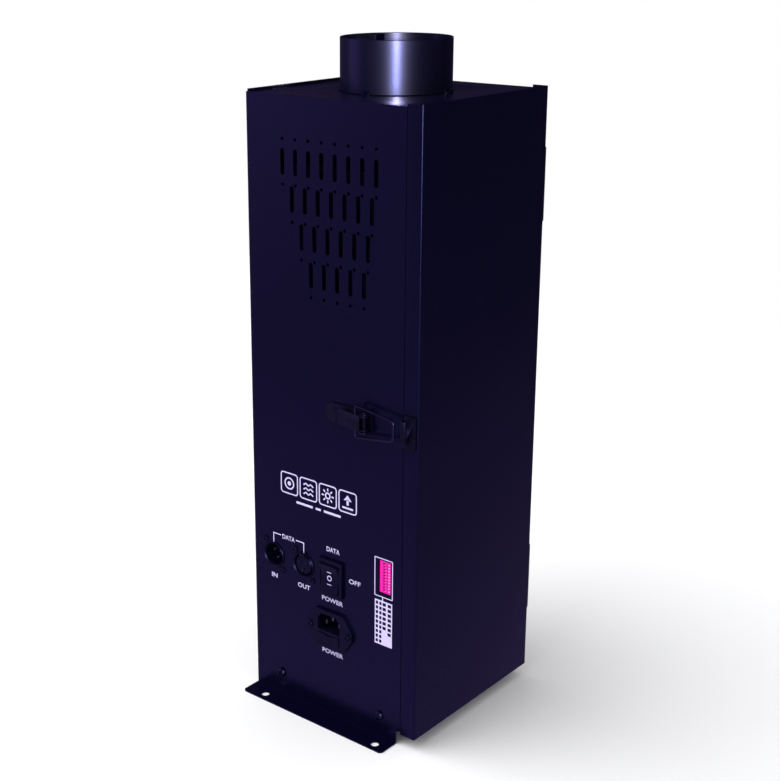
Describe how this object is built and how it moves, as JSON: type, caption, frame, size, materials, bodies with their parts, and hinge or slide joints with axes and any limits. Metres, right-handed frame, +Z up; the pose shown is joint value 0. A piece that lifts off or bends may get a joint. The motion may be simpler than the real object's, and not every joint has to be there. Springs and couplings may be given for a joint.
{
  "type": "fog machine",
  "caption": "Tall black sheet-metal fog machine tower with a round chimney outlet, vented control panel, draw latch and a hinged service door.",
  "frame": {"origin": "middle of the footprint, at the level of the floor that the two bolt-down feet rest on", "axes": "+Z up along the tower; the control panel faces -Y; the hinged door is the +X side"},
  "size_m": [0.172, 0.2026, 0.5575],
  "materials": {
    "black_powder_coat": "fine satin powder coat",
    "black_plastic": "moulded satin plastic",
    "blackened_steel": "blackened steel",
    "bright_metal": "zinc-plated steel",
    "red_plastic": "moulded",
    "white_plastic": "moulded",
    "aluminium": "cast and folded, plain",
    "clear_plastic": "translucent, satin",
    "circuit_board": "solder mask",
    "white_ink": "screen print"
  },
  "bodies": {
    "case": {"front_panel": "black_powder_coat", "rear_panel": "black_powder_coat", "left_panel": "black_powder_coat", "top_plate": "black_powder_coat", "heater_shelf": "black_powder_coat", "base_tray": "black_powder_coat", "chimney_collar": "black_powder_coat", "hinge_lower_frame_leaf": "blackened_steel", "hinge_upper_frame_leaf": "blackened_steel", "hinge_lower_pin": "bright_metal", "hinge_upper_pin": "bright_metal", "case_screw_left": "blackened_steel", "case_screw_right": "blackened_steel", "latch_base": "blackened_steel", "latch_rivet": "blackened_steel", "data_in_shell": "black_plastic", "data_in_insert": "black_plastic", "data_out_shell": "black_plastic", "data_out_insert": "black_plastic", "data_in_screw_upper": "blackened_steel", "data_in_screw_lower": "blackened_steel", "data_out_screw_upper": "blackened_steel", "data_out_screw_lower": "blackened_steel", "switch_bezel": "black_plastic", "inlet_body": "black_plastic", "inlet_screw_left": "blackened_steel", "inlet_screw_right": "blackened_steel", "address_switch_body": "red_plastic", "fan_frame": "black_plastic", "heater_block": "aluminium", "nozzle": "bright_metal", "thermostat": "aluminium", "heater_shroud": "aluminium", "fluid_bottle": "clear_plastic", "pump": "bright_metal", "feed_tube": "clear_plastic", "delivery_tube": "clear_plastic", "control_board": "circuit_board", "power_board": "circuit_board"},
    "door": {"door": "black_powder_coat", "hinge_lower_door_leaf": "blackened_steel", "hinge_upper_door_leaf": "blackened_steel", "latch_catch": "blackened_steel"},
    "lever": {"latch_lever": "blackened_steel"},
    "bail": {"latch_bail": "bright_metal"},
    "rocker": {"switch_rocker": "black_plastic"},
    "fuse_drawer": {"inlet_fuse_drawer": "black_plastic"},
    "release_tab": {"data_out_release_tab": "black_plastic"},
    "fan": {"fan_rotor": "black_plastic"},
    "cap": {"bottle_cap": "white_plastic"},
    "slider_01": {"address_slider_01": "white_plastic"},
    "slider_02": {"address_slider_02": "white_plastic"},
    "slider_03": {"address_slider_03": "white_plastic"},
    "slider_04": {"address_slider_04": "white_plastic"},
    "slider_05": {"address_slider_05": "white_plastic"},
    "slider_06": {"address_slider_06": "white_plastic"},
    "slider_07": {"address_slider_07": "white_plastic"},
    "slider_08": {"address_slider_08": "white_plastic"},
    "slider_09": {"address_slider_09": "white_plastic"},
    "slider_10": {"address_slider_10": "white_plastic"}
  },
  "joints": [
    {"name": "door_hinge", "type": "hinge", "parent": "case", "child": "door", "pos_m": [0.0719, 0.085, 0.2645], "axis": [0, 0, 1], "range_deg": [0, 110]},
    {"name": "latch_lever_pivot", "type": "hinge", "parent": "case", "child": "lever", "pos_m": [0.038, -0.088, 0.2725], "axis": [0, 0, 1], "range_deg": [0, 110]},
    {"name": "latch_bail_pivot", "type": "hinge", "parent": "lever", "child": "bail", "pos_m": [0.0295, -0.0884, 0.2725], "axis": [0, 0, 1], "range_deg": [-140, 0]},
    {"name": "power_rocker", "type": "hinge", "parent": "case", "child": "rocker", "pos_m": [-0.0007, -0.083, 0.128], "axis": [1, 0, 0], "range_deg": [-10, 10]},
    {"name": "fuse_drawer_slide", "type": "slide", "parent": "case", "child": "fuse_drawer", "axis": [0, -1, 0], "range_m": [0, 0.02]},
    {"name": "release_tab_press", "type": "slide", "parent": "case", "child": "release_tab", "axis": [0, 1, 0], "range_m": [0, 0.0015], "stiffness_N_per_m": 400},
    {"name": "fan_spin", "type": "hinge", "parent": "case", "child": "fan", "pos_m": [0, -0.068, 0.425], "axis": [0, -1, 0], "continuous": true},
    {"name": "bottle_cap_turn", "type": "hinge", "parent": "case", "child": "cap", "pos_m": [-0.033, 0.033, 0.1875], "axis": [0, 0, 1], "range_deg": [0, 360]},
    {"name": "address_slide_01", "type": "slide", "parent": "case", "child": "slider_01", "axis": [-1, 0, 0], "range_m": [0, 0.0022]},
    {"name": "address_slide_02", "type": "slide", "parent": "case", "child": "slider_02", "axis": [-1, 0, 0], "range_m": [0, 0.0022]},
    {"name": "address_slide_03", "type": "slide", "parent": "case", "child": "slider_03", "axis": [-1, 0, 0], "range_m": [0, 0.0022]},
    {"name": "address_slide_04", "type": "slide", "parent": "case", "child": "slider_04", "axis": [-1, 0, 0], "range_m": [0, 0.0022]},
    {"name": "address_slide_05", "type": "slide", "parent": "case", "child": "slider_05", "axis": [-1, 0, 0], "range_m": [0, 0.0022]},
    {"name": "address_slide_06", "type": "slide", "parent": "case", "child": "slider_06", "axis": [-1, 0, 0], "range_m": [0, 0.0022]},
    {"name": "address_slide_07", "type": "slide", "parent": "case", "child": "slider_07", "axis": [-1, 0, 0], "range_m": [0, 0.0022]},
    {"name": "address_slide_08", "type": "slide", "parent": "case", "child": "slider_08", "axis": [-1, 0, 0], "range_m": [0, 0.0022]},
    {"name": "address_slide_09", "type": "slide", "parent": "case", "child": "slider_09", "axis": [-1, 0, 0], "range_m": [0, 0.0022]},
    {"name": "address_slide_10", "type": "slide", "parent": "case", "child": "slider_10", "axis": [-1, 0, 0], "range_m": [0, 0.0022]}
  ],
  "couplings": [
    {"joint": "latch_bail_pivot", "follows": "latch_lever_pivot", "ratio": -1.25}
  ]
}
